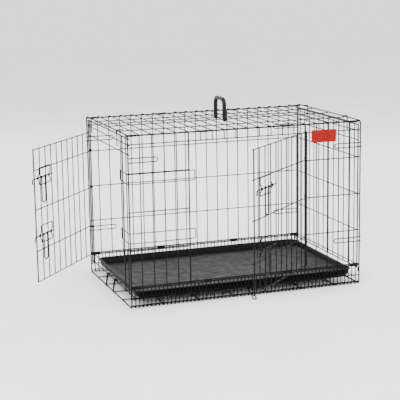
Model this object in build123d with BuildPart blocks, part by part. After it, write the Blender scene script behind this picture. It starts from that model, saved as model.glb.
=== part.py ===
"""Folding wire dog crate with two doors, a lift-out tray and a carrying handle.

Millimetres, +Z up. The origin is on the ground under the middle of the crate, +X runs along its
length and the long side with a door faces -Y. Both doors stand part open, as they are stored.
Every panel is two layers of straight wires welded where they cross.
"""

from math import cos, radians, sin
import os

from build123d import *

# Overall size of the closed box
LENGTH = 914.0
WIDTH = 584.0
HEIGHT = 635.0

# Wires
EDGE_R = 2.5  # thick wires round each panel, also the door pins
WIRE_R = 1.9  # the fill wires between them
BOLT_R = 2.2  # bolts, pivots and hooks
WELD_SINK = 0.3  # how far two crossing wires sink into each other at a weld
PITCH = LENGTH / 20

# Heights of the front and rear panels' cross wires
LIP_TOP = 73.0
PANEL_FOOT = 79.0
FRONT_RAILS = (212.0, 353.0, 494.0)
DOOR_HEAD = 598.0
TOP_BEND = 11.0

# Base
LIP_STEPS = 60
LIP_BEND = 6.0
LIP_LEG = 14.0
LIP_MID = 35.0
FOOT_WIRE = 10.0
FLOOR_LINES = (-175.0, -58.0, 58.0, 175.0)
BEARER_STEPS = (1, 4, 7, 10, 13, 16, 19)

# End panels
END_INSET = 6.4  # from the outer face of the crate to the middle of an end panel's fill wires
END_HALF = 277.5  # from the middle to each corner post
END_HEAD = 617.0
END_RAILS = (559.0, 594.0)
END_SILL = 78.0
LEFT_FOOT = 46.0
RIGHT_FOOT = 66.0  # also the height of the right end's fold line
REAR_JAMB = 253.0
FRONT_JAMB = REAR_JAMB - 10 * PITCH
FOOT_HOOK = 14.0

# Doors, in their own frame: u from the hinge pin to the free edge, n outwards
PIN_GAP = 0.4
HINGE_STILE = 9.0
FRONT_DOOR_WIDTH = 466.0
FRONT_DOOR_RAILS = (98.0, 208.0, 357.0, 500.0, 604.0)
FRONT_DOOR_OPEN = 42.8
END_DOOR_WIDTH = 455.0
END_DOOR_RAILS = (84.0, 199.0, 352.0, 498.0, 573.0)
END_DOOR_OPEN = 40.0
DOOR_STEPS = 10
EYE_WALL = 2.4
EYE_HEIGHT = 7.0
EYE_FOOT = WIRE_R - 0.5  # an eye is welded to the top or the underside of a rail
EYE_TOP = EYE_HEIGHT + EYE_FOOT

# Latches, measured from the door's free edge and from the bolt's height
LATCH_DROP = 37.0  # from the door rail that carries the guide down to the bolt
LATCH_MIDDLE = 87.0
GUIDE_WIDTH = 86.0
GUIDE_DROP = 62.0
BOLT_TIP = 4.0
BOLT_TAIL = 157.0
BOLT_HOOK = 17.0
BOLT_STAND = 6.2  # from the middle of the guide's bars out to the bolt
EYE_BORE = 2.6
PADDLE_WIDTH = 28.0
PADDLE_LENGTH = 96.0
PADDLE_BORE = 2.28
LOWER_LATCH_BELOW = 215.0

# Small wire fittings
KEEPER_R = 1.6
KEEPER_HALF = 18.0
KEEPER_PAST_JAMB = 21.0
HAIRPIN_LENGTH = 112.0
HAIRPIN_HALF = 8.0
HANGER_R = 2.0
HANGER_DEPTHS = (-168.0, 198.0)
SLEEVE_STEPS = (0.5, 6.5, 13.5, 19.5)
SLEEVE_LENGTH = 30.0
SLEEVE_BORE = 2.6
SLEEVE_WALL = 1.1
SLEEVE_PITCH = 6.0
LOOP_SPREAD = 50.0

# Floor clasp
CLASP_X = 2.0
CLASP_REACH = 52.0
CLASP_HALF = 6.0

# Plastic parts
TRAY_LENGTH = 870.0
TRAY_WIDTH = 560.0
TRAY_FLOOR = 34.0
TRAY_DEPTH = 25.0
TRAY_WALL = 2.4
TRAY_CORNER = 34.0
TRAY_TAPER = 8.0
HANDLE_SPAN = 96.0
HANDLE_RISE = 86.0
HANDLE_THICK = 14.0
HANDLE_WIDE = 14.0
HANDLE_FOOT_R = 6.5
HANDLE_BORE = 1.98
PLATE_SIZE = (100.0, 47.0, 2.4)
PLATE_CENTRE = (302.0, 584.0)

# Worked out from the sizes above
HALF_X = LENGTH / 2
HALF_Y = WIDTH / 2
SKIN = 2 * EDGE_R - WIRE_R  # from a panel's outer face to the middle of its fill wires
SIDE_Y = HALF_Y - SKIN
TOP_Z = HEIGHT - SKIN
POST_X = HALF_X - EDGE_R
END_X = HALF_X - END_INSET
FRONT_STEPS = [k for k in range(1, 20) if k < 5 or k > 15]
HEAD_STEPS = list(range(6, 15))
JAMB_STEPS = (5, 15)
JAMB_Y = SIDE_Y - WIRE_R + EDGE_R
TOP_LAP = TOP_BEND + 3.6  # from the panel's middle in to its bent-over top wire


def step_x(k):
    """Where the k-th upright of a long side stands."""
    return -HALF_X + k * PITCH


def outer_layer(radius):
    """How far outside a panel's middle a wire of this radius lies when it shares the uprights' layer."""
    return radius - WIRE_R


def inner_layer(radius):
    """How far inside a panel's middle a cross wire lies when it is welded to the uprights."""
    return WIRE_R + radius - WELD_SINK


def rods(starts, direction, length, radius):
    """Parallel straight wires, one from each start point, added to the part being built."""
    plane = Plane(origin=starts[0], z_dir=direction)
    with BuildSketch(plane) as ends:
        with Locations(*[plane.to_local_coords(Vector(*p)) for p in starts]):
            Circle(radius)
    extrude(ends.sketch, amount=length)


def rods_between(pairs, radius):
    """Straight wires from point to point, added to the part being built."""
    for start, end in pairs:
        run = Vector(*end) - Vector(*start)
        rods([start], run.normalized(), run.length, radius)


def bent_wire(points, bend, radius):
    """One wire along straight runs joined by bends, added to the part being built."""
    with BuildLine() as path:
        FilletPolyline(*points, radius=bend)
    with BuildSketch(Plane(origin=path.line @ 0, z_dir=path.line % 0)) as end:
        Circle(radius)
    sweep(end.sketch, path=path.line)


def wire_part(points, bend, radius):
    """A bent wire by itself, to be copied to several places."""
    with BuildPart() as wire:
        bent_wire(points, bend, radius)
    return wire.part


def sleeve(length, radius):
    """A crimped sleeve round two parallel edge wires, along Y, with its middle at the origin."""
    with BuildPart() as shell:
        with BuildSketch(Plane.XZ.offset(-length / 2)):
            SlotCenterToCenter(SLEEVE_PITCH, 2 * (radius + SLEEVE_WALL))
            SlotCenterToCenter(SLEEVE_PITCH, 2 * radius, mode=Mode.SUBTRACT)
        extrude(amount=length)
    return shell.part


os.makedirs("parts", exist_ok=True)


def save(builder, name):
    """Label a finished piece and write its file."""
    builder.part.label = name
    export_step(builder.part, f"parts/{name}.step")


# ---------------------------------------------------------------- base

lip_steps = [-POST_X + 2 * POST_X * k / LIP_STEPS for k in range(1, LIP_STEPS)]
leg_end = SIDE_Y - LIP_LEG
lip_wire = wire_part(
    [(0, -SIDE_Y, LIP_TOP + EDGE_R), (0, -SIDE_Y, WIRE_R), (0, -leg_end, WIRE_R)], LIP_BEND, WIRE_R
)
with BuildPart() as base_lip_wires:
    with Locations(*[(x, 0, 0) for x in lip_steps]):
        add(lip_wire)
    mirror(about=Plane.XZ)
save(base_lip_wires, "base_lip_wires")

post_y = SIDE_Y + outer_layer(EDGE_R)
lip_post = wire_part(
    [(0, -post_y, LIP_TOP + EDGE_R), (0, -post_y, EDGE_R), (0, -leg_end, EDGE_R)], LIP_BEND + 2, EDGE_R
)
with BuildPart() as base_corner_posts:
    with Locations((-POST_X, 0, 0), (POST_X, 0, 0)):
        add(lip_post)
    mirror(about=Plane.XZ)
save(base_corner_posts, "base_corner_posts")

with BuildPart() as base_edge_wires:
    lip_edge_y = SIDE_Y - inner_layer(EDGE_R)
    rods([(-HALF_X, -lip_edge_y, LIP_TOP)], (1, 0, 0), LENGTH, EDGE_R)
    mirror(about=Plane.XZ)
save(base_edge_wires, "base_edge_wires")

with BuildPart() as base_long_wires:
    inner = SIDE_Y - inner_layer(WIRE_R)
    low = WIRE_R + inner_layer(WIRE_R)
    lines = [(-HALF_X, s * inner, z) for s in (-1, 1) for z in (FOOT_WIRE, LIP_MID)]
    lines += [(-HALF_X, s * (leg_end + 2), low) for s in (-1, 1)]
    lines += [(-HALF_X, y, low) for y in FLOOR_LINES]
    rods(lines, (1, 0, 0), LENGTH, WIRE_R)
save(base_long_wires, "base_long_wires")

with BuildPart() as base_cross_wires:
    half_lip = POST_X / LIP_STEPS
    starts = [(step_x(k) - half_lip, -leg_end - 6, WIRE_R) for k in range(3, 20, 3)]
    rods(starts, (0, 1, 0), 2 * (leg_end + 6), WIRE_R)
save(base_cross_wires, "base_cross_wires")

with BuildPart() as base_end_wires:
    rods([(s * POST_X, -leg_end, EDGE_R) for s in (-1, 1)], (0, 1, 0), 2 * leg_end, EDGE_R)
save(base_end_wires, "base_end_wires")

with BuildPart() as tray_bearers:
    bearer_z = LIP_MID - inner_layer(WIRE_R)
    bearer_half = SIDE_Y - WIRE_R - 0.4
    starts = [(step_x(k) + PITCH / 2, -bearer_half, bearer_z) for k in BEARER_STEPS]
    rods(starts, (0, 1, 0), 2 * bearer_half, WIRE_R)
save(tray_bearers, "tray_bearers")


# ---------------------------------------------------------------- front and rear panels


def side_upright(radius, foot):
    """An upright of the front panel, bent over at its top to meet the roof."""
    y = -(SIDE_Y + outer_layer(radius))
    top = TOP_Z
    return wire_part(
        [(0, y, foot), (0, y, top), (0, -(SIDE_Y - TOP_LAP - EDGE_R), top)], TOP_BEND, radius
    )


panel_start = PANEL_FOOT - EDGE_R
full_upright = side_upright(WIRE_R, panel_start)
head_upright = side_upright(WIRE_R, DOOR_HEAD - WIRE_R)
corner_upright = side_upright(EDGE_R, panel_start)

with BuildPart() as front_uprights:
    with Locations(*[(step_x(k), 0, 0) for k in FRONT_STEPS]):
        add(full_upright)
    with Locations(*[(step_x(k), 0, 0) for k in HEAD_STEPS]):
        add(head_upright)
save(front_uprights, "front_uprights")

with BuildPart() as rear_uprights:
    with Locations(*[(step_x(k), 0, 0) for k in range(1, 20)]):
        add(mirror(full_upright, about=Plane.XZ, mode=Mode.PRIVATE))
save(rear_uprights, "rear_uprights")

with BuildPart() as front_posts:
    with Locations((-POST_X, 0, 0), (POST_X, 0, 0)):
        add(corner_upright)
    jambs = [(step_x(k), 0, 0) for k in JAMB_STEPS]
    with Locations(*jambs):
        add(corner_upright)
save(front_posts, "front_posts")

with BuildPart() as rear_posts:
    with Locations((-POST_X, 0, 0), (POST_X, 0, 0)):
        add(mirror(corner_upright, about=Plane.XZ, mode=Mode.PRIVATE))
save(rear_posts, "rear_posts")

rail_y = SIDE_Y - inner_layer(WIRE_R)
with BuildPart() as front_rails:
    bay = step_x(JAMB_STEPS[0]) + HALF_X + EDGE_R
    for z in FRONT_RAILS:
        rods([(-HALF_X, -rail_y, z)], (1, 0, 0), bay, WIRE_R)
        rods([(HALF_X - bay, -rail_y, z)], (1, 0, 0), bay, WIRE_R)
    rods([(-HALF_X, -rail_y, DOOR_HEAD)], (1, 0, 0), LENGTH, WIRE_R)
save(front_rails, "front_rails")

with BuildPart() as rear_rails:
    rods([(-HALF_X, rail_y, z) for z in (*FRONT_RAILS, DOOR_HEAD)], (1, 0, 0), LENGTH, WIRE_R)
save(rear_rails, "rear_rails")

edge_y = SIDE_Y - inner_layer(EDGE_R)
lap_y = SIDE_Y - TOP_LAP
lap_z = TOP_Z - inner_layer(EDGE_R)
for sign, name in ((-1, "front_edge_wires"), (1, "rear_edge_wires")):
    with BuildPart() as side_edges:
        rods([(-HALF_X, sign * edge_y, PANEL_FOOT)], (1, 0, 0), LENGTH, EDGE_R)
        rods([(-HALF_X, sign * lap_y, lap_z)], (1, 0, 0), LENGTH, EDGE_R)
    save(side_edges, name)


# ---------------------------------------------------------------- roof

roof_edge_y = lap_y - SLEEVE_PITCH
roof_half = roof_edge_y + EDGE_R
with BuildPart() as roof_cross_wires:
    rods([(step_x(k), -roof_half, TOP_Z) for k in range(1, 20)], (0, 1, 0), 2 * roof_half, WIRE_R)
save(roof_cross_wires, "roof_cross_wires")

with BuildPart() as roof_long_wires:
    long_z = TOP_Z - inner_layer(WIRE_R)
    rods([(-HALF_X, y * WIDTH / 4, long_z) for y in (-1, 0, 1)], (1, 0, 0), LENGTH, WIRE_R)
save(roof_long_wires, "roof_long_wires")

with BuildPart() as roof_edge_wires:
    rods([(-HALF_X, s * roof_edge_y, lap_z) for s in (-1, 1)], (1, 0, 0), LENGTH, EDGE_R)
save(roof_edge_wires, "roof_edge_wires")

with BuildPart() as roof_end_wires:
    end_z = TOP_Z + outer_layer(EDGE_R)
    rods([(s * POST_X, -roof_half, end_z) for s in (-1, 1)], (0, 1, 0), 2 * roof_half, EDGE_R)
save(roof_end_wires, "roof_end_wires")


# ---------------------------------------------------------------- end panels


def end_panel(side, foot, uprights, jambs, rails):
    """One end panel: its posts, uprights, rails and its foot wire with hooked ends. side is -1 or 1."""
    x = side * END_X
    top = END_HEAD + EDGE_R
    reach = END_HALF + EDGE_R
    with BuildPart() as posts:
        post_x = x + side * outer_layer(EDGE_R)
        places = [(post_x, y, foot - BOLT_R) for y in (-END_HALF, END_HALF, *jambs)]
        rods(places, (0, 0, 1), top - foot + BOLT_R, EDGE_R)
    with BuildPart() as fill:
        rods([(x, y, foot - BOLT_R) for y in uprights], (0, 0, 1), top - foot + BOLT_R, WIRE_R)
    with BuildPart() as cross:
        rail_x = x - side * inner_layer(WIRE_R)
        rods([(rail_x, -reach, z) for z in rails], (0, 1, 0), 2 * reach, WIRE_R)
        head_x = x - side * inner_layer(EDGE_R)
        rods([(head_x, -reach, END_HEAD)], (0, 1, 0), 2 * reach, EDGE_R)
    with BuildPart() as foot_wire:
        foot_x = x - side * inner_layer(BOLT_R)
        out = HALF_Y + BOLT_R + 2.4
        low = foot - FOOT_HOOK
        path = [(foot_x, -out, low), (foot_x, -out, foot), (foot_x, out, foot), (foot_x, out, low)]
        bent_wire(path, 5.0, BOLT_R)
    return {"posts": posts, "uprights": fill, "rails": cross, "foot_wire": foot_wire}


left_spare = FRONT_JAMB - PITCH
left_pieces = end_panel(
    -1, LEFT_FOOT, [left_spare], [FRONT_JAMB, REAR_JAMB], [END_SILL, *END_RAILS]
)
right_pieces = end_panel(
    1, RIGHT_FOOT, [REAR_JAMB - k * PITCH for k in range(12)], [], [END_SILL, *FRONT_RAILS, *END_RAILS]
)
for name, piece in left_pieces.items():
    save(piece, f"left_end_{name}")
for name, piece in right_pieces.items():
    save(piece, f"right_end_{name}")

with BuildPart() as left_end_loops:
    loop_x = -END_X + inner_layer(BOLT_R)
    ring = BOLT_R + WIRE_R + 0.4
    toe_x = -(HALF_X + WIRE_R - WELD_SINK)
    for y in (-LOOP_SPREAD, LOOP_SPREAD):
        for lean in (-1, 1):
            path = [(loop_x + ring, y + 7 * lean, LEFT_FOOT - 1), (loop_x + ring, y + 7 * lean, LEFT_FOOT + ring)]
            path += [(loop_x - ring, y + 7 * lean, LEFT_FOOT + ring), (toe_x, y + 3 * lean, EDGE_R)]
            bent_wire(path, 2.4, WIRE_R)
save(left_end_loops, "left_end_loops")


# ---------------------------------------------------------------- doors


class Door:
    """A door's own directions: u runs from the hinge pin to the free edge, n points out of the crate."""

    def __init__(self, name, pin, along, outward, opening, width, rails):
        turn = radians(opening)
        self.name = name
        self.pin = Vector(*pin)
        along = Vector(*along)
        outward = Vector(*outward)
        self.along = along * cos(turn) + outward * sin(turn)
        self.outward = outward * cos(turn) - along * sin(turn)
        self.width = width
        self.rails = rails

    def at(self, u, n, z):
        """The place at u along the door, n outside its hinge pin and height z."""
        return self.pin + self.along * u + self.outward * n + Vector(0, 0, z)


RAIL_N = EDGE_R + WIRE_R + PIN_GAP
STILE_N = RAIL_N + inner_layer(EDGE_R)
FILL_N = RAIL_N + inner_layer(WIRE_R)

front_door = Door(
    "front_door",
    (step_x(JAMB_STEPS[1]), -JAMB_Y, 0),
    (-1, 0, 0),
    (0, -1, 0),
    FRONT_DOOR_OPEN,
    FRONT_DOOR_WIDTH,
    FRONT_DOOR_RAILS,
)
end_door = Door(
    "end_door",
    (-END_X - outer_layer(EDGE_R), REAR_JAMB, 0),
    (0, -1, 0),
    (-1, 0, 0),
    END_DOOR_OPEN,
    END_DOOR_WIDTH,
    END_DOOR_RAILS,
)

for door in (front_door, end_door):
    bottom = door.rails[0] - EDGE_R
    tall = door.rails[-1] - door.rails[0] + 2 * EDGE_R
    with BuildPart() as stiles:
        ends = [door.at(u, STILE_N, bottom) for u in (HINGE_STILE, door.width)]
        rods([tuple(p) for p in ends], (0, 0, 1), tall, EDGE_R)
    save(stiles, f"{door.name}_stiles")

    with BuildPart() as fill:
        gap = (door.width - HINGE_STILE) / DOOR_STEPS
        places = [door.at(HINGE_STILE + gap * k, FILL_N, bottom) for k in range(1, DOOR_STEPS)]
        rods([tuple(p) for p in places], (0, 0, 1), tall, WIRE_R)
    save(fill, f"{door.name}_uprights")

    with BuildPart() as cross:
        starts = [tuple(door.at(0, RAIL_N, z)) for z in door.rails]
        rods(starts, door.along, door.width + EDGE_R, WIRE_R)
    save(cross, f"{door.name}_rails")

    with BuildPart() as eyes:
        for base in (door.rails[1] - EYE_TOP, door.rails[2] + EYE_FOOT, door.rails[3] + EYE_FOOT):
            with BuildSketch(Plane.XY.offset(base)):
                with Locations((door.pin.X, door.pin.Y)):
                    Circle(EDGE_R + 0.06 + EYE_WALL)
                    Circle(EDGE_R + 0.06, mode=Mode.SUBTRACT)
            extrude(amount=EYE_HEIGHT)
    save(eyes, f"{door.name}_hinge_eyes")


# ---------------------------------------------------------------- latches

GUIDE_N = RAIL_N + 2 * inner_layer(WIRE_R)
BOLT_N = GUIDE_N + BOLT_STAND
half_guide = GUIDE_WIDTH / 2
for door in (front_door, end_door):
    top_rail = door.rails[3]
    for place, carry in (("upper", top_rail), ("lower", top_rail - LOWER_LATCH_BELOW)):
        middle = door.width - LATCH_MIDDLE
        bolt_z = carry - LATCH_DROP
        name = f"{door.name}_{place}"

        with BuildPart() as guide:
            head_z = carry + 1.0
            foot_z = carry - GUIDE_DROP
            for rise, bar_z in ((1, head_z), (-1, foot_z)):
                near = bolt_z + rise * (EYE_BORE + WIRE_R - 1.0)
                bow = [(BOLT_N - 0.6, near), (GUIDE_N, bolt_z + rise * 15), (GUIDE_N, bar_z)]
                path = [door.at(middle - half_guide, n, z) for n, z in bow]
                path += [door.at(middle + half_guide, n, z) for n, z in reversed(bow)]
                bent_wire([tuple(p) for p in path], 4.0, WIRE_R)
            for side in (-1, 1):
                ring = door.at(middle + side * half_guide - 3, BOLT_N, bolt_z)
                with BuildSketch(Plane(origin=ring, z_dir=door.along)):
                    Circle(EYE_BORE + WIRE_R)
                extrude(amount=6)
            with BuildSketch(Plane(origin=door.at(middle - half_guide - 9, BOLT_N, bolt_z), z_dir=door.along)):
                Circle(EYE_BORE)
            extrude(amount=GUIDE_WIDTH + 18, mode=Mode.SUBTRACT)
        save(guide, f"{name}_guide")

        with BuildPart() as bolt:
            tip = door.width - BOLT_TIP
            tail = door.width - BOLT_TAIL
            path = [door.at(tail, BOLT_N, bolt_z), door.at(tip, BOLT_N, bolt_z)]
            path.append(door.at(tip, BOLT_N, bolt_z - BOLT_HOOK))
            bent_wire([tuple(p) for p in path], 5.0, BOLT_R)
        save(bolt, f"{name}_bolt")

        with BuildPart() as paddle:
            half = PADDLE_WIDTH / 2
            eye = PADDLE_BORE + 2.2
            top = bolt_z - eye + 0.6
            ends = [(middle - half, top), (middle - half, bolt_z - PADDLE_LENGTH)]
            ends += [(middle + half, bolt_z - PADDLE_LENGTH), (middle + half, top)]
            bent_wire([tuple(door.at(u, BOLT_N, z)) for u, z in ends], 12.0, BOLT_R)
            for u in (middle - half, middle + half):
                with BuildSketch(Plane(origin=door.at(u - BOLT_R - 0.5, BOLT_N, bolt_z), z_dir=door.along)):
                    Circle(eye)
                extrude(amount=2 * BOLT_R + 1.0)
            with BuildSketch(Plane(origin=door.at(middle - half - 4, BOLT_N, bolt_z), z_dir=door.along)):
                Circle(PADDLE_BORE)
            extrude(amount=PADDLE_WIDTH + 8, mode=Mode.SUBTRACT)
        save(paddle, f"{name}_paddle")


# ---------------------------------------------------------------- keepers, hairpins and hangers

keeper_n = HALF_Y + KEEPER_R - WELD_SINK
keeper_corner = -(HALF_X + KEEPER_R + 0.3)
keeper_toe = -(END_X + 4.0)
keeper_end = step_x(JAMB_STEPS[0]) + KEEPER_PAST_JAMB
keeper_back = FRONT_JAMB + KEEPER_PAST_JAMB
for place, drop in (("upper", LATCH_DROP), ("lower", LATCH_DROP + LOWER_LATCH_BELOW)):
    level = FRONT_DOOR_RAILS[3] - drop + 12.0
    with BuildPart() as keeper:
        low = level - KEEPER_HALF
        high = level + KEEPER_HALF
        bends = [(keeper_toe, keeper_back), (keeper_corner, -keeper_n), (keeper_end, -keeper_n)]
        path = [(x, y, low) for x, y in bends] + [(x, y, high) for x, y in reversed(bends)]
        bent_wire(path, 4.0, KEEPER_R)
        tail = 2 * KEEPER_HALF + 2 * (KEEPER_R + 1.0)
        rods([(keeper_toe, keeper_back, low - KEEPER_R - 1.0)], (0, 0, 1), tail, KEEPER_R + 0.25)
    save(keeper, f"{place}_keeper")

with BuildPart() as corner_hairpins:
    reach = HALF_X + 1.0 - HAIRPIN_LENGTH
    hairpin_y = HALF_Y + WIRE_R - WELD_SINK
    for z in (542.0, 178.0):
        for side_x in (-1, 1):
            for side_y in (-1, 1):
                if side_x < 0 and side_y < 0 and z < 300:
                    continue
                y = side_y * hairpin_y
                ends = [(HALF_X + 1.0, z - HAIRPIN_HALF), (reach, z - HAIRPIN_HALF)]
                ends += [(reach, z + HAIRPIN_HALF), (HALF_X + 1.0, z + HAIRPIN_HALF)]
                bent_wire([(side_x * x, y, h) for x, h in ends], HAIRPIN_HALF - 0.5, WIRE_R)
save(corner_hairpins, "corner_hairpins")

with BuildPart() as roof_hangers:
    over = HEIGHT + HANGER_R - WELD_SINK
    out = HALF_X + HANGER_R + 0.4
    low = END_DOOR_RAILS[-1] + 7.0
    for side in (-1, 1):
        for y in HANGER_DEPTHS:
            path = [(out - 24, y, over), (out, y, over), (out, y, low), (out - 4.5, y, low)]
            bent_wire([(side * x, d, h) for x, d, h in path], 3.0, HANGER_R)
save(roof_hangers, "roof_hangers")


# ---------------------------------------------------------------- crimped sleeves

flat_sleeve = sleeve(SLEEVE_LENGTH, SLEEVE_BORE).rotate(Axis.Z, 90)
sleeve_on_edge = flat_sleeve.rotate(Axis.X, 90)
with BuildPart() as roof_sleeves:
    for y in (-(lap_y - SLEEVE_PITCH / 2), lap_y - SLEEVE_PITCH / 2):
        for k in SLEEVE_STEPS:
            with Locations((step_x(k), y, lap_z)):
                add(flat_sleeve)
save(roof_sleeves, "roof_sleeves")

with BuildPart() as base_sleeves:
    for y in (-edge_y, edge_y):
        for k in SLEEVE_STEPS:
            with Locations((step_x(k), y, (LIP_TOP + PANEL_FOOT) / 2)):
                add(sleeve_on_edge)
save(base_sleeves, "base_sleeves")


# ---------------------------------------------------------------- floor clasp

with BuildPart() as floor_clasp:
    pivot_y = -(SIDE_Y - inner_layer(WIRE_R))
    eye = WIRE_R + 0.06 + 1.6
    tip_y = -(HALF_Y + CLASP_REACH)
    tip_z = WIRE_R + 0.4
    for side in (-1, 1):
        with BuildSketch(Plane.YZ.offset(CLASP_X + side * CLASP_HALF - 1.6)):
            with Locations((pivot_y, LIP_MID)):
                Circle(eye)
        extrude(amount=3.2)
    with BuildSketch(Plane.YZ.offset(CLASP_X - 20)):
        with Locations((pivot_y, LIP_MID)):
            Circle(WIRE_R + 0.06)
    extrude(amount=40, mode=Mode.SUBTRACT)
    run_y = tip_y - pivot_y
    run_z = tip_z - LIP_MID
    start = (CLASP_X - CLASP_HALF, pivot_y + run_y * 0.045, LIP_MID + run_z * 0.045)
    turn_up = (CLASP_X + CLASP_HALF, tip_y, tip_z)
    back = (CLASP_X + CLASP_HALF, pivot_y + run_y * 0.045, LIP_MID + run_z * 0.045)
    bent_wire([start, (CLASP_X - CLASP_HALF, tip_y, tip_z), turn_up, back], 4.0, WIRE_R)
save(floor_clasp, "floor_clasp")


# ---------------------------------------------------------------- tray, handle and name plate

with BuildPart() as tray:
    with BuildSketch(Plane.XY.offset(TRAY_FLOOR)):
        RectangleRounded(TRAY_LENGTH - 2 * TRAY_TAPER, TRAY_WIDTH - 2 * TRAY_TAPER, TRAY_CORNER - TRAY_TAPER)
    with BuildSketch(Plane.XY.offset(TRAY_FLOOR + TRAY_DEPTH)):
        RectangleRounded(TRAY_LENGTH, TRAY_WIDTH, TRAY_CORNER)
    loft()
    fillet(tray.faces().sort_by(Axis.Z)[0].edges(), 4)
    offset(amount=-TRAY_WALL, openings=tray.faces().sort_by(Axis.Z)[-1])
save(tray, "tray")

with BuildPart() as handle:
    foot_half = HANDLE_SPAN / 2
    with BuildLine() as arch:
        shoulder = TOP_Z + HANDLE_RISE - HANDLE_THICK / 2
        corners = [(0, -foot_half, TOP_Z + 2), (0, -foot_half, shoulder)]
        corners += [(0, foot_half, shoulder), (0, foot_half, TOP_Z + 2)]
        FilletPolyline(*corners, radius=24)
    with BuildSketch(Plane(origin=arch.line @ 0, x_dir=(1, 0, 0), z_dir=arch.line % 0)):
        RectangleRounded(HANDLE_WIDE, HANDLE_THICK, 4)
    sweep(path=arch.line)
    for y in (-foot_half, foot_half):
        with BuildSketch(Plane.XZ.offset(-y - HANDLE_THICK / 2)):
            with Locations((0, TOP_Z)):
                Circle(HANDLE_FOOT_R)
        extrude(amount=HANDLE_THICK)
    with BuildSketch(Plane.XZ.offset(-foot_half - HANDLE_THICK)):
        with Locations((0, TOP_Z)):
            Circle(HANDLE_BORE)
    extrude(amount=HANDLE_SPAN + 2 * HANDLE_THICK, mode=Mode.SUBTRACT)
save(handle, "handle")

with BuildPart() as name_plate:
    with BuildSketch(Plane.XZ.offset(HALF_Y + 0.2)):
        with Locations(PLATE_CENTRE):
            RectangleRounded(PLATE_SIZE[0], PLATE_SIZE[1], 5)
    extrude(amount=PLATE_SIZE[2])
    fillet(name_plate.faces().sort_by(Axis.Y)[0].edges(), 0.8)
    with BuildSketch(Plane.XZ.offset(HALF_Y - 6.0)):
        for k in (16, 17):
            with Locations((step_x(k), PLATE_CENTRE[1])):
                Rectangle(7, 20)
                Rectangle(2 * WIRE_R + 0.1, 20, mode=Mode.SUBTRACT)
    extrude(amount=6.2)
save(name_plate, "name_plate")
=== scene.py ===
"""Wire dog crate: finishes, floor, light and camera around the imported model."""

import math

import bmesh
import bpy
from mathutils import Euler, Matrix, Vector


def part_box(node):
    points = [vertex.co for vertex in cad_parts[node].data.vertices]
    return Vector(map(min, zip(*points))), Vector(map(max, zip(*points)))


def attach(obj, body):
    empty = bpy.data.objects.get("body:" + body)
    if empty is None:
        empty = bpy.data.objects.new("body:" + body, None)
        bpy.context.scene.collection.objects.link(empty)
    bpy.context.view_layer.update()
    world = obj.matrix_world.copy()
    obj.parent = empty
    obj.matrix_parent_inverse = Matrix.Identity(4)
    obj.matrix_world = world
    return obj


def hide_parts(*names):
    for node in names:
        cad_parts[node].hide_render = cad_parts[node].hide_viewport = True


bl_info = {
    "name": "Wire Dog Crate",
    "version": (1, 0, 0),
    "blender": (4, 5, 0),
    "location": "View3D > Sidebar > Crate",
    "description": "Gives a folding wire dog crate its finishes, tray, handle and studio",
    "category": "Object",
}

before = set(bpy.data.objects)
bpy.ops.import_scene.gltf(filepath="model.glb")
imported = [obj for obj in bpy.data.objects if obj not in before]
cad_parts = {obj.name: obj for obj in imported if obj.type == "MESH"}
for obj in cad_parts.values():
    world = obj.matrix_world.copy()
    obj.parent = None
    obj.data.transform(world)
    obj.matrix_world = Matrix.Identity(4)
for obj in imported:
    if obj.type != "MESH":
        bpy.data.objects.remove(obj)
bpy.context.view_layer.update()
MM = 0.001
PIP_SIDES = 20
CREASE_SINK = 0.2 * MM  # how far a crease's foot goes into the tray's floor
PLASTIC_NODES = ("tray", "handle", "name_plate")
SMALL_FACE = 4e-4  # square metres; faces above this are flat ends and stay sharp


# ---------------------------------------------------------------- colour and nodes


def linear(hex_colour):
    """An sRGB hex colour as linear red, green, blue and alpha."""
    parts = [int(hex_colour[k : k + 2], 16) / 255 for k in (1, 3, 5)]
    bent = [c / 12.92 if c <= 0.04045 else ((c + 0.055) / 1.055) ** 2.4 for c in parts]
    return (*bent, 1.0)


def node(tree, kind, settings=None, inputs=None):
    """Add a node, set its properties, and set or link its inputs."""
    made = tree.nodes.new(kind)
    for name, value in (settings or {}).items():
        setattr(made, name, value)
    for name, value in (inputs or {}).items():
        if isinstance(value, bpy.types.NodeSocket):
            tree.links.new(value, made.inputs[name])
        else:
            made.inputs[name].default_value = value
    return made


def surface(name, shader_inputs):
    """A material with one principled shader, and the tree to add pattern nodes to."""
    material = bpy.data.materials.new(name)
    material.use_nodes = True
    tree = material.node_tree
    tree.nodes.clear()
    place = node(tree, "ShaderNodeTexCoord").outputs["Object"]
    shader = node(tree, "ShaderNodeBsdfPrincipled", inputs=shader_inputs)
    node(tree, "ShaderNodeOutputMaterial", inputs={"Surface": shader.outputs["BSDF"]})
    return material, tree, place, shader


def noise(tree, place, size_mm, detail=2.0):
    """Noise whose blotches are about size_mm across."""
    scale = 1.0 / (size_mm * MM)
    return node(
        tree, "ShaderNodeTexNoise", inputs={"Vector": place, "Scale": scale, "Detail": detail}
    ).outputs["Fac"]


def spread(tree, value, low, high):
    """Map a pattern's middle range onto low to high."""
    inputs = {"Value": value, "From Min": 0.3, "From Max": 0.7, "To Min": low, "To Max": high}
    return node(tree, "ShaderNodeMapRange", inputs=inputs).outputs["Result"]


def two_tone(tree, value, dark, light):
    """A colour that goes from dark to light with a pattern."""
    ramp = node(tree, "ShaderNodeValToRGB", inputs={"Fac": value})
    ramp.color_ramp.elements[0].position = 0.35
    ramp.color_ramp.elements[1].position = 0.65
    ramp.color_ramp.elements[0].color = linear(dark)
    ramp.color_ramp.elements[1].color = linear(light)
    return ramp.outputs["Color"]


def bump(tree, height, depth_mm, strength=0.5):
    """A bump from a pattern, depth_mm high."""
    inputs = {"Height": height, "Distance": depth_mm * MM, "Strength": strength}
    return node(tree, "ShaderNodeBump", inputs=inputs).outputs["Normal"]


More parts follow.
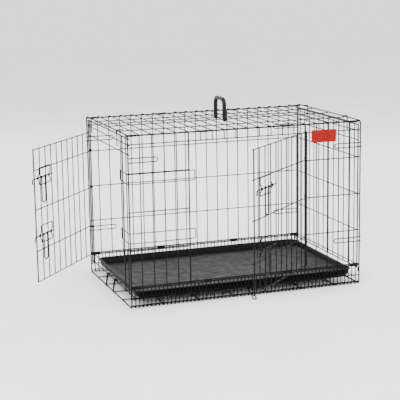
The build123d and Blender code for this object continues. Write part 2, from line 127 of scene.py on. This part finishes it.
def powder_coated_steel(dark, light):
    """Cold-drawn steel wire, powder coated: an even satin black with a faint orange peel."""
    material, tree, place, shader = surface(
        "powder_coated_steel", {"IOR": 1.5, "Specular IOR Level": 0.12}
    )
    # The coating's drift in tone shows over about 60 mm of wire
    tree.links.new(two_tone(tree, noise(tree, place, 60), dark, light), shader.inputs["Base Color"])
    # Thin and thick film alternate every few millimetres and change the gloss
    tree.links.new(spread(tree, noise(tree, place, 9), 0.36, 0.52), shader.inputs["Roughness"])
    # Orange peel is about 0.8 mm across, drawn at 2 mm so that it shows
    tree.links.new(bump(tree, noise(tree, place, 2), 0.05), shader.inputs["Normal"])
    return material


def moulded_polypropylene(dark, light):
    """Vacuum-formed black polypropylene: dull, with a fine leather grain and paler scuffs."""
    material, tree, place, shader = surface("moulded_polypropylene", {"IOR": 1.49, "Specular IOR Level": 0.1})
    # Handling scuffs and the cooling flow leave cloudy patches about 120 mm across
    tree.links.new(two_tone(tree, noise(tree, place, 160, 1.0), dark, light), shader.inputs["Base Color"])
    tree.links.new(spread(tree, noise(tree, place, 30), 0.42, 0.6), shader.inputs["Roughness"])
    # The mould's grain is about 1 mm, drawn at 3 mm so that it shows
    grain = node(tree, "ShaderNodeTexVoronoi", inputs={"Vector": place, "Scale": 1 / (3 * MM)})
    tree.links.new(bump(tree, grain.outputs["Distance"], 0.05, 0.2), shader.inputs["Normal"])
    return material


def moulded_abs(dark, light):
    """Injection-moulded ABS with a spark-eroded finish: satin, slightly darker than the tray."""
    material, tree, place, shader = surface("moulded_abs", {"IOR": 1.53, "Specular IOR Level": 0.2})
    tree.links.new(two_tone(tree, noise(tree, place, 25), dark, light), shader.inputs["Base Color"])
    tree.links.new(spread(tree, noise(tree, place, 5), 0.38, 0.5), shader.inputs["Roughness"])
    # Spark-eroded texture is about 0.3 mm, drawn at 1 mm so that it shows
    tree.links.new(bump(tree, noise(tree, place, 1), 0.05), shader.inputs["Normal"])
    return material


def glossy_polystyrene(dark, light):
    """Red polystyrene plate, moulded against a polished tool: bright, smooth and evenly coloured."""
    material, tree, place, shader = surface("glossy_polystyrene", {"IOR": 1.59, "Specular IOR Level": 0.12})
    tree.links.new(two_tone(tree, noise(tree, place, 40), dark, light), shader.inputs["Base Color"])
    tree.links.new(spread(tree, noise(tree, place, 12), 0.2, 0.3), shader.inputs["Roughness"])
    return material


def painted_floor(dark, light):
    """Matt painted studio floor: nearly white, with a very slight roller stipple."""
    material, tree, place, shader = surface("painted_studio_floor", {"Roughness": 0.9})
    tree.links.new(two_tone(tree, noise(tree, place, 400), dark, light), shader.inputs["Base Color"])
    return material


# ---------------------------------------------------------------- mesh helpers


def new_piece(name, mesh_code, material, body):
    """Make an object from bmesh code, give it a finish and let it ride on a body."""
    mesh = bpy.data.meshes.new(name)
    shape = bmesh.new()
    mesh_code(shape)
    bmesh.ops.recalc_face_normals(shape, faces=shape.faces)
    shape.to_mesh(mesh)
    shape.free()
    piece = bpy.data.objects.new(name, mesh)
    bpy.context.scene.collection.objects.link(piece)
    mesh.materials.append(material)
    for polygon in mesh.polygons:
        polygon.use_smooth = True
    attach(piece, body)
    return piece


def rounded_outline(half_x, half_y, corner, steps=8):
    """The points of a rectangle with rounded corners, anticlockwise."""
    points = []
    for quarter, (sx, sy) in enumerate(((1, 1), (-1, 1), (-1, -1), (1, -1))):
        for k in range(steps + 1):
            turn = math.radians(90 * quarter + 90 * k / steps)
            x = sx * (half_x - corner) + corner * math.cos(turn)
            y = sy * (half_y - corner) + corner * math.sin(turn)
            points.append((x, y))
    return points


def bridge(shape, outer, inner):
    """Faces between two closed rings that have the same number of points."""
    count = len(outer)
    for k in range(count):
        after = (k + 1) % count
        shape.faces.new((outer[k], outer[after], inner[after], inner[k]))


def finish_nodes(names, material):
    """Give CAD nodes a procedural material in place of their plain one."""
    for name in names:
        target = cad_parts[name].data
        target.materials.clear()
        target.materials.append(material)


# ---------------------------------------------------------------- settings


def colour(title, default, words):
    """A colour setting kept as an sRGB hex value."""
    return bpy.props.StringProperty(name=title, description=words, default=default)


class CrateFinishSettings(bpy.types.PropertyGroup):
    """Colours of the crate's finishes."""

    wire_dark: colour("Wire dark", "#010101", "Darkest tone of the wires' powder coat")
    wire_light: colour("Wire light", "#040404", "Palest tone of the wires' powder coat")
    tray_dark: colour("Tray dark", "#040405", "Darkest tone of the tray")
    tray_light: colour("Tray light", "#08080a", "Palest tone of the tray")
    handle_dark: colour("Handle dark", "#020202", "Darkest tone of the handle")
    handle_light: colour("Handle light", "#060606", "Palest tone of the handle")
    plate_dark: colour("Plate dark", "#7c0103", "Darkest tone of the name plate")
    plate_light: colour("Plate light", "#900204", "Palest tone of the name plate")


class CrateTraySettings(bpy.types.PropertyGroup):
    """Sizes of the tray's moulded detail."""

    wall: bpy.props.FloatProperty(
        name="Wall", description="Thickness of the tray's wall", default=2.4 * MM, subtype="DISTANCE"
    )
    crease: bpy.props.FloatProperty(
        name="Crease height",
        description="Height of the floor's creases",
        default=2.2 * MM,
        subtype="DISTANCE",
    )
    crease_width: bpy.props.FloatProperty(
        name="Crease width",
        description="Width of the floor's creases",
        default=9 * MM,
        subtype="DISTANCE",
    )
    rim: bpy.props.FloatProperty(
        name="Rim", description="Width of the turned rim", default=7 * MM, subtype="DISTANCE"
    )


class CrateStudioSettings(bpy.types.PropertyGroup):
    """The camera and light."""

    azimuth: bpy.props.FloatProperty(
        name="Azimuth",
        description="Camera's turn from straight in front",
        default=math.radians(-19.3),
        subtype="ANGLE",
    )
    elevation: bpy.props.FloatProperty(
        name="Elevation",
        description="Camera's height angle",
        default=math.radians(11.3),
        subtype="ANGLE",
    )
    roll: bpy.props.FloatProperty(
        name="Roll", description="Camera's roll", default=math.radians(-0.9), subtype="ANGLE"
    )
    distance: bpy.props.FloatProperty(
        name="Distance", description="Camera to target", default=4.711, subtype="DISTANCE"
    )
    lens: bpy.props.FloatProperty(name="Lens", description="Focal length in millimetres", default=109.4)
    target: bpy.props.FloatVectorProperty(
        name="Target",
        description="Where the camera points",
        default=(-0.0866, 0.0, 0.3188),
        subtype="TRANSLATION",
    )


# ---------------------------------------------------------------- operators


class CRATE_OT_wires(bpy.types.Operator):
    """Give every wire, sleeve, hook and latch its powder-coated steel."""

    bl_idname = "crate.wires"
    bl_label = "Finish wires"

    def execute(self, context):
        finish = context.scene.crate_finish
        steel = powder_coated_steel(finish.wire_dark, finish.wire_light)
        wires = [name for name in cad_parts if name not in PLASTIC_NODES]
        finish_nodes(wires, steel)
        for name in wires:
            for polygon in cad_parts[name].data.polygons:
                polygon.use_smooth = polygon.area < SMALL_FACE and len(polygon.vertices) < 5
        return {"FINISHED"}


class CRATE_OT_tray(bpy.types.Operator):
    """Make the moulded tray with its turned rim, coved walls, creases and corner pips."""

    bl_idname = "crate.tray"
    bl_label = "Make tray"

    def execute(self, context):
        finish = context.scene.crate_finish
        sizes = context.scene.crate_tray
        plastic = moulded_polypropylene(finish.tray_dark, finish.tray_light)
        low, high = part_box("tray")
        half_x = (high[0] - low[0]) / 2
        half_y = (high[1] - low[1]) / 2
        wall = sizes.wall
        rim = sizes.rim
        # Each ring is inset from the tray's outline, a height and a corner radius
        rings = [
            (8 * MM + 4 * MM, low[2], 22 * MM),
            (8 * MM, low[2] + 4 * MM, 26 * MM),
            (rim, high[2] - 4 * MM, 30 * MM),
            (1.2 * MM, high[2] - 3.6 * MM, 33 * MM),
            (0.0, high[2] - 2.4 * MM, 34 * MM),
            (0.6 * MM, high[2] - 0.6 * MM, 33.5 * MM),
            (2.0 * MM, high[2], 32 * MM),
            (rim - 1 * MM, high[2] - 0.2 * MM, 28 * MM),
            (rim + wall, high[2] - 2.4 * MM, 26 * MM),
            (9.5 * MM + wall, low[2] + wall + 6 * MM, 24 * MM),
            (11 * MM + wall, low[2] + wall + 2 * MM, 23 * MM),
            (16 * MM + wall, low[2] + wall, 20 * MM),
        ]

        def shell(shape):
            loops = []
            for inset, z, corner in rings:
                outline = rounded_outline(half_x - inset, half_y - inset, corner)
                loops.append([shape.verts.new((x, y, z)) for x, y in outline])
            for outer, inner in zip(loops, loops[1:]):
                bridge(shape, outer, inner)
            # The underside, then the floor inside
            shape.faces.new(loops[0])
            shape.faces.new(loops[-1])

        tray = new_piece("tray_shell", shell, plastic, "tray")
        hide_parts("tray")
        floor_z = low[2] + wall
        foot_z = floor_z - CREASE_SINK
        inset = 52 * MM

        def creases(shape):
            """Raised rounded creases: one round the floor and two across it."""
            profile = [(-0.5, 0.0), (-0.3, 0.6), (0.0, 1.0), (0.3, 0.6), (0.5, 0.0)]
            loops = []
            for across, up in profile:
                offset = inset - across * sizes.crease_width
                outline = rounded_outline(half_x - offset, half_y - offset, 40 * MM)
                z = foot_z + up * sizes.crease
                loops.append([shape.verts.new((x, y, z)) for x, y in outline])
            for outer, inner in zip(loops, loops[1:]):
                bridge(shape, outer, inner)
            reach = half_y - inset - 10 * MM
            for x in (-half_x / 3, half_x / 3):
                rows = []
                for across, up in profile:
                    z = foot_z + up * sizes.crease
                    ends = [(-reach, foot_z), (-reach + 12 * MM, z), (reach - 12 * MM, z), (reach, foot_z)]
                    rows.append([shape.verts.new((x + across * sizes.crease_width, y, h)) for y, h in ends])
                for left, right in zip(rows, rows[1:]):
                    for k in range(3):
                        shape.faces.new((left[k], right[k], right[k + 1], left[k + 1]))

        new_piece("tray_creases", creases, plastic, "tray")

        def pips(shape):
            """Low round domes near the corners of the floor."""
            for sx in (-1, 1):
                for sy in (-1, 1):
                    for step in (0, 1):
                        x = sx * (half_x - 95 * MM - step * 60 * MM)
                        y = sy * (half_y - 85 * MM)
                        rings_here = []
                        for radius, up in ((7, -0.2), (5.6, 1.0), (3.2, 1.6)):
                            ring = []
                            for k in range(PIP_SIDES):
                                turn = 2 * math.pi * k / PIP_SIDES
                                px = x + radius * MM * math.cos(turn)
                                py = y + radius * MM * math.sin(turn)
                                ring.append(shape.verts.new((px, py, floor_z + up * MM)))
                            rings_here.append(ring)
                        for outer, inner in zip(rings_here, rings_here[1:]):
                            bridge(shape, outer, inner)
                        shape.faces.new(rings_here[-1])

        new_piece("tray_pips", pips, plastic, "tray")
        return {"FINISHED"}


class CRATE_OT_handle(bpy.types.Operator):
    """Give the carrying handle its moulded finish."""

    bl_idname = "crate.handle"
    bl_label = "Finish handle"

    def execute(self, context):
        finish = context.scene.crate_finish
        finish_nodes(["handle"], moulded_abs(finish.handle_dark, finish.handle_light))
        return {"FINISHED"}


class CRATE_OT_plate(bpy.types.Operator):
    """Give the plain name plate its glossy finish."""

    bl_idname = "crate.plate"
    bl_label = "Finish name plate"

    def execute(self, context):
        finish = context.scene.crate_finish
        finish_nodes(["name_plate"], glossy_polystyrene(finish.plate_dark, finish.plate_light))
        return {"FINISHED"}


class CRATE_OT_studio(bpy.types.Operator):
    """Add the pale floor, the soft lights and the camera."""

    bl_idname = "crate.studio"
    bl_label = "Make studio"

    def execute(self, context):
        scene = context.scene
        studio = scene.crate_studio
        mesh = bpy.data.meshes.new("studio_floor")
        shape = bmesh.new()
        bmesh.ops.create_grid(shape, x_segments=1, y_segments=1, size=12)
        shape.to_mesh(mesh)
        shape.free()
        floor = bpy.data.objects.new("studio_floor", mesh)
        scene.collection.objects.link(floor)
        mesh.materials.append(painted_floor("#fbfbfb", "#ffffff"))

        world = bpy.data.worlds.new("studio_air")
        world.use_nodes = True
        air = world.node_tree.nodes["Background"]
        air.inputs["Color"].default_value = linear("#ffffff")
        air.inputs["Strength"].default_value = 1.7
        scene.world = world

        places = (
            ("key_light", (-2.2, -3.0, 3.6), 230.0, 2.6),
            ("fill_light", (3.2, -2.4, 2.4), 110.0, 2.6),
            ("back_light", (0.6, 3.2, 3.2), 110.0, 2.4),
        )
        middle = Vector((0.0, 0.0, 0.3))
        for name, place, power, size in places:
            light = bpy.data.lights.new(name, "AREA")
            light.energy = power
            light.size = size
            lamp = bpy.data.objects.new(name, light)
            lamp.location = place
            lamp.rotation_euler = (middle - Vector(place)).to_track_quat("-Z", "Y").to_euler()
            scene.collection.objects.link(lamp)

        turn, lift = studio.azimuth, studio.elevation
        back = Vector((math.sin(turn) * math.cos(lift), -math.cos(turn) * math.cos(lift), math.sin(lift)))
        lens = bpy.data.cameras.new("studio_camera")
        lens.lens = studio.lens
        lens.sensor_width = 36.0
        camera = bpy.data.objects.new("studio_camera", lens)
        camera.location = Vector(studio.target) + back * studio.distance
        aim = (-back).to_track_quat("-Z", "Y")
        camera.rotation_euler = (aim.to_matrix() @ Euler((0, 0, studio.roll)).to_matrix()).to_euler()
        scene.collection.objects.link(camera)
        scene.camera = camera
        return {"FINISHED"}


class CRATE_PT_sidebar(bpy.types.Panel):
    """The crate's pieces and studio, in the sidebar."""

    bl_idname = "CRATE_PT_sidebar"
    bl_label = "Wire dog crate"
    bl_space_type = "VIEW_3D"
    bl_region_type = "UI"
    bl_category = "Crate"

    def draw(self, context):
        for name in STEPS:
            self.layout.operator(f"crate.{name}")


STEPS = ("wires", "tray", "handle", "plate", "studio")
CLASSES = (
    CrateFinishSettings,
    CrateTraySettings,
    CrateStudioSettings,
    CRATE_OT_wires,
    CRATE_OT_tray,
    CRATE_OT_handle,
    CRATE_OT_plate,
    CRATE_OT_studio,
    CRATE_PT_sidebar,
)


def register():
    """Register the settings, operators and panel."""
    for each in CLASSES:
        bpy.utils.register_class(each)
    bpy.types.Scene.crate_finish = bpy.props.PointerProperty(type=CrateFinishSettings)
    bpy.types.Scene.crate_tray = bpy.props.PointerProperty(type=CrateTraySettings)
    bpy.types.Scene.crate_studio = bpy.props.PointerProperty(type=CrateStudioSettings)


def unregister():
    """Take everything back out."""
    del bpy.types.Scene.crate_finish
    del bpy.types.Scene.crate_tray
    del bpy.types.Scene.crate_studio
    for each in reversed(CLASSES):
        bpy.utils.unregister_class(each)


def main():
    """Make every piece."""
    register()
    for name in STEPS:
        getattr(bpy.ops.crate, name)()
    bpy.context.view_layer.update()


if __name__ == "__main__":
    main()
